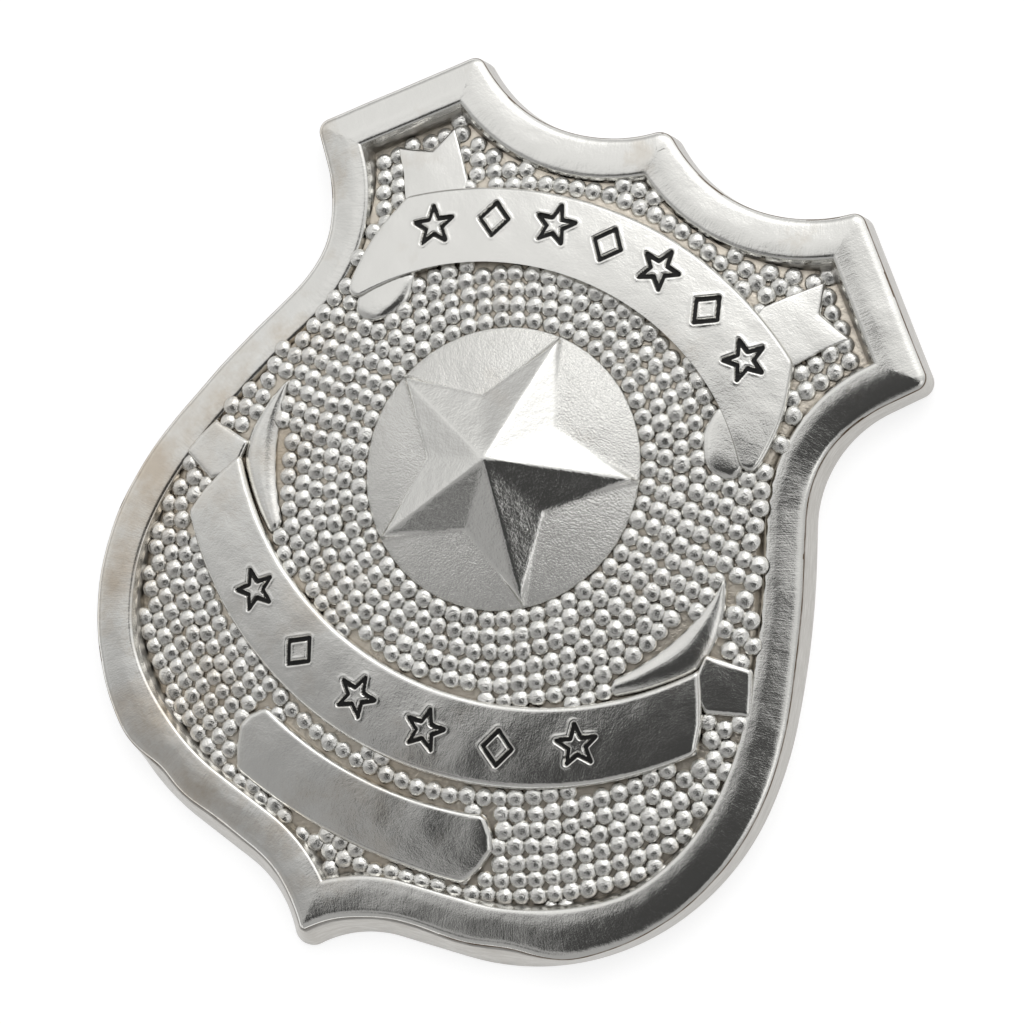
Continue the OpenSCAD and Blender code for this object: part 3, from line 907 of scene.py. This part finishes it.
def lower_edges():
    side = [(21.5, -12.5), (21.0, -10.4), (20.2, -8.6), (19.35, -7.0)]
    low = circle_arc(*LOWER_OUT, -21.5, 21.5, 90, top=False)
    return band(low, circle_arc(*LOWER_IN, -19.35, 19.35, 90, top=False), side)


def banner_edges():
    side = [(9.8, -28.05), (10.5, -26.4), (10.85, -24.9), (10.4, -23.9), (9.3, -22.8)]
    low = circle_arc(*BANNER_OUT, -9.8, 9.8, 60, top=False)
    return band(low, circle_arc(*BANNER_IN, -9.3, 9.3, 60, top=False), side)


def tail_edges():
    low = ((12.2, 18.0), (13.6, 19.6), (15.4, 21.5))
    high = ((16.4, 15.4), (17.4, 16.8), (18.9, 18.4))
    left = ((12.2, 18.0), (11.9, 16.4), (13.5, 14.6), (15.4, 14.0), (16.4, 15.4))
    right = ((15.4, 21.5), (16.1, 19.2), (18.9, 18.4))
    return low, high, left, right


def flap_edges():
    low = rounded([(12.5, 10.3), (12.2, 8.2), (13.2, 6.2)])
    high = rounded([(13.5, 11.0), (15.6, 9.5), (16.3, 7.4)])
    left = rounded([(12.5, 10.3), (13.0, 10.9), (13.5, 11.0)])
    right = rounded([(13.2, 6.2), (14.6, 5.6), (15.8, 5.9), (16.3, 7.4)])
    return low, high, left, right


def horn_edges():
    inner = circle_arc(1.0, 16.7, 18.15, 13.8, 30, top=False, centre_x=1.5)
    outer = rounded([(18.45, -0.5), (19.3, -3.0), (19.5, -5.5), (18.9, -7.5), (16.6, -9.9), (14.3, -11.6)])
    left = rounded([inner[0], (18.25, -0.5), outer[0]])
    right = rounded([inner[-1], (14.0, -11.0), outer[-1]])
    return outer, inner, left[::-1], right[::-1]


def tab_edges():
    low = ((19.2, -5.9), (22.6, -5.5))
    high = ((19.4, -8.6), (20.9, -9.7), (23.9, -8.6))
    left = ((19.2, -5.9), (19.2, -7.4), (19.4, -8.6))
    right = ((22.6, -5.5), (23.3, -7.0), (23.9, -8.6))
    return low, high, left, right


def raised_loops(c):
    """Closed outlines of the raised shapes, each with the clearance that a bead's middle keeps from it."""

    def closed(edges):
        low, high, left, right = (np.asarray(edge, float) for edge in edges)
        return np.vstack([low, right, high[::-1], left[::-1]])

    loops = [(closed(upper_edges()), 0.05), (closed(lower_edges()), 0.05), (closed(banner_edges()), 0.1)]
    for edges, gap in ((tail_edges(), 0.0), (flap_edges(), 0.25), (horn_edges(), 0.2), (tab_edges(), 0.15)):
        loops += [(closed(edges), gap), (closed(edges) * (-1, 1), gap)]
    turn = np.linspace(0, 2 * math.pi, 90, False)
    return loops + [(c.boss_radius * np.stack([np.cos(turn), np.sin(turn)], 1), 0.3)]


class BADGE_OT_ribbons(bpy.types.Operator):
    """Upper and lower ribbons with their punched and black-filled marks"""

    bl_idname = "badge.ribbons"
    bl_label = "Ribbons"

    def execute(self, context):
        c = sizes_of(context)
        face = plate(context, "brushed ribbon")
        enamel = black_enamel(context.scene.badge_finish)
        groove_depth, enamel_below = 0.3, 0.17
        for name, edges, places, centre, upright in (
            ("upper_ribbon", upper_edges(), UPPER_MARKS, UPPER_MARK_CENTRE, 1),
            ("lower_ribbon", lower_edges(), LOWER_MARKS, LOWER_MARK_CENTRE, -1),
        ):
            lines = placed_marks(places, centre, upright)
            marks = punched(lines, groove_depth)
            relief(name, edges, c.ribbon_height, c, face, spacing=0.08, soft=0.45, shape=marks)
            enamel_fill(name + "_enamel", lines, c.ribbon_height - enamel_below, c, enamel)
        return {"FINISHED"}


class BADGE_OT_ends(bpy.types.Operator):
    """Swallow tails, end flaps, horns, side tabs and the blank banner"""

    bl_idname = "badge.ends"
    bl_label = "Tails and Banner"

    def execute(self, context):
        c = sizes_of(context)
        face = plate(context, "brushed ribbon")
        relief("banner", banner_edges(), c.banner_height, c, face, spacing=0.16, soft=0.5)
        for name, edges, crown, soft in (
            ("swallow_tail", tail_edges(), 0.05, 0.3),
            ("end_flap", flap_edges(), 0.15, 0.65),
            ("horn", horn_edges(), 0.05, 0.55),
            ("side_tab", tab_edges(), 0.0, 0.35),
        ):
            for side, sign in (("right", 1), ("left", -1)):
                turned = [np.asarray(edge, float) * (sign, 1) for edge in edges]
                relief(f"{name}_{side}", turned, c.tail_height, c, face, spacing=0.12, soft=soft, crown=crown)
        return {"FINISHED"}


class BADGE_OT_pin(bpy.types.Operator):
    """Finish of the plain brooch pin in the hollow back"""

    bl_idname = "badge.pin"
    bl_label = "Brooch Pin"

    def execute(self, context):
        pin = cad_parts["brooch_pin"]
        steel = drawn_steel(context.scene.badge_finish)
        for slot in pin.material_slots:
            slot.material = steel
        return {"FINISHED"}


# Soft lights and dark corners of the studio: tilt from straight up towards +X and towards +Y in
# degrees, brightness added to the tent's own, and half width in degrees.
STUDIO = (
    (-13, 45, 1.4, 16),
    (-45, 29, 0.27, 14),
    (4, 54, 1.1, 36),
    (-14, -50, -0.45, 8),
    (-61, -1, 0.5, 20),
    (-28, 6, 0.42, 14),
    (-30, -24, -0.12, 12),
    (52, 2, 0.9, 12),
)
TENT = 0.47
# The opening of the tent, which stays dark: tilts in degrees, half widths, turn and share of light lost.
OPENING = (12, -13.5)
OPENING_REACH = (27, 19.5)
OPENING_TURN = -10
OPENING_DEPTH = 0.87
DARKEST = 0.03


def tilted(tilt_x, tilt_y):
    """Direction that leans from straight up by two angles in degrees."""
    tilt, turn = math.radians(math.hypot(tilt_x, tilt_y)), math.atan2(tilt_y, tilt_x)
    return math.sin(tilt) * math.cos(turn), math.sin(tilt) * math.sin(turn), math.cos(tilt)


class BADGE_OT_stage(bpy.types.Operator):
    """White light table, tent with its soft lights, and the camera"""

    bl_idname = "badge.stage"
    bl_label = "Stage"

    def execute(self, context):
        self.lay_table(context)
        self.light_tent(context)
        self.set_camera(context)
        context.scene.view_settings.view_transform = "Standard"
        return {"FINISHED"}

    def lay_table(self, context):
        half = 1.2
        corners = [(-half, -half, 0), (half, -half, 0), (half, half, 0), (-half, half, 0)]
        mesh = bpy.data.meshes.new("table_top")
        mesh.from_pydata(corners, [], [(0, 1, 2, 3)])
        table = bpy.data.objects.new("table_top", mesh)
        context.collection.objects.link(table)
        # Light through the acrylic keeps the table white and thins the badge's shadow.
        material, tree, point = blank_material("frosted white acrylic, lit from below")
        haze = add(tree, "TexNoise", {"Scale": 1 / (0.6 * MM), "Detail": 3}, {"Vector": point})
        frosting = add(tree, "Bump", {"Strength": 0.3, "Distance": 0.01 * MM}, {"Height": haze})
        base = {"Base Color": (*context.scene.badge_finish.floor, 1), "Roughness": 0.9}
        backlight = {"Emission Color": (1, 1, 1, 1), "Emission Strength": 0.72}
        acrylic = add(tree, "BsdfPrincipled", {**base, **backlight}, {"Normal": frosting})
        add(tree, "OutputMaterial", None, {"Surface": acrylic})
        mesh.materials.append(material)

    def light_tent(self, context):
        world = bpy.data.worlds.new("light tent")
        context.scene.world = world
        world.use_nodes = True
        tree = world.node_tree
        tree.nodes.clear()
        direction = add(tree, "TexCoord").outputs["Generated"]
        level = None
        for tilt_x, tilt_y, gain, width in STUDIO:
            # A light fades as exp((cos(angle) - 1) / spread) round its own direction.
            spread = 1 - math.cos(math.radians(width))
            aim = {"operation": "DOT_PRODUCT", 1: tilted(tilt_x, tilt_y)}
            dot = add(tree, "VectorMath", aim, {0: direction}).outputs["Value"]
            fade = {"operation": "MULTIPLY_ADD", 1: 1 / spread, 2: -1 / spread}
            scaled = add(tree, "Math", fade, {0: dot})
            glow = add(tree, "Math", {"operation": "EXPONENT"}, {0: scaled})
            before = {2: level} if level else {}
            level = add(tree, "Math", {"operation": "MULTIPLY_ADD", 1: gain, 2: TENT}, {0: glow, **before})
        reach_x, reach_y = (math.sin(math.radians(angle)) for angle in OPENING_REACH)
        aside = add(tree, "VectorMath", {"operation": "SUBTRACT", 1: tilted(*OPENING)}, {0: direction})
        cos, sin = heading(OPENING_TURN)
        parts = []
        for axis in ((cos / reach_x, sin / reach_x, 0), (-sin / reach_y, cos / reach_y, 0)):
            part = {"operation": "DOT_PRODUCT", 1: axis}
            parts.append(add(tree, "VectorMath", part, {0: aside}).outputs["Value"])
        pair = add(tree, "CombineXYZ", None, {"X": parts[0], "Y": parts[1]})
        # Squaring the parts twice before taking the length makes the opening a rounded rectangle.
        for _ in range(2):
            pair = add(tree, "VectorMath", {"operation": "MULTIPLY"}, {0: pair, 1: pair})
        ring = add(tree, "VectorMath", {"operation": "LENGTH"}, {0: pair}).outputs["Value"]
        edge = {"interpolation_type": "SMOOTHSTEP", "From Min": 1.2, "From Max": 0.62}
        opening = add(tree, "MapRange", edge, {"Value": ring})
        lit = add(tree, "Math", {"operation": "MULTIPLY_ADD", 1: -OPENING_DEPTH, 2: 1}, {0: opening})
        level = add(tree, "Math", {"operation": "MULTIPLY"}, {0: level, 1: lit})
        level = add(tree, "Math", {"operation": "MAXIMUM", 1: DARKEST}, {0: level})
        light = add(tree, "Background", {"Color": (1, 1, 1, 1)}, {"Strength": level})
        add(tree, "OutputWorld", None, {"Surface": light})

    def set_camera(self, context):
        data = bpy.data.cameras.new("camera")
        data.lens = 119.0
        data.sensor_width = 36.0
        camera = bpy.data.objects.new("camera", data)
        place, aim = Vector((83.75, 5.02, 230.77)) * MM, Vector((1.33, 2.59, 2.0)) * MM
        back = (place - aim).normalized()
        up = Vector((0, 1, 0))
        up = (up - up.dot(back) * back).normalized()
        level = Matrix((up.cross(back), up, back)).transposed().to_4x4()
        roll = Matrix.Rotation(math.radians(24.57), 4, "Z")
        camera.matrix_world = Matrix.Translation(place) @ level @ roll
        context.collection.objects.link(camera)
        context.scene.camera = camera


class BADGE_PT_panel(bpy.types.Panel):
    """Buttons and values in the 3D view's sidebar"""

    bl_label = "Police Badge"
    bl_idname = "BADGE_PT_panel"
    bl_space_type = "VIEW_3D"
    bl_region_type = "UI"
    bl_category = "Badge"

    def draw(self, context):
        for group in (context.scene.badge_sizes, context.scene.badge_finish):
            box = self.layout.box()
            for name in type(group).__annotations__:
                box.prop(group, name)
        for operator in OPERATORS:
            self.layout.operator(operator.bl_idname)


OPERATORS = (
    BADGE_OT_stage,
    BADGE_OT_rim,
    BADGE_OT_field,
    BADGE_OT_beads,
    BADGE_OT_star,
    BADGE_OT_ribbons,
    BADGE_OT_ends,
    BADGE_OT_pin,
)
CLASSES = (BadgeSizes, BadgeFinish, *OPERATORS, BADGE_PT_panel)


def register():
    for cls in CLASSES:
        bpy.utils.register_class(cls)
    bpy.types.Scene.badge_sizes = PointerProperty(type=BadgeSizes)
    bpy.types.Scene.badge_finish = PointerProperty(type=BadgeFinish)


def unregister():
    del bpy.types.Scene.badge_finish
    del bpy.types.Scene.badge_sizes
    for cls in reversed(CLASSES):
        bpy.utils.unregister_class(cls)


def main():
    register()
    bpy.ops.badge.stage()
    bpy.ops.badge.rim()
    bpy.ops.badge.field()
    bpy.ops.badge.beads()
    bpy.ops.badge.star()
    bpy.ops.badge.ribbons()
    bpy.ops.badge.ends()
    bpy.ops.badge.pin()


if __name__ == "__main__":
    main()
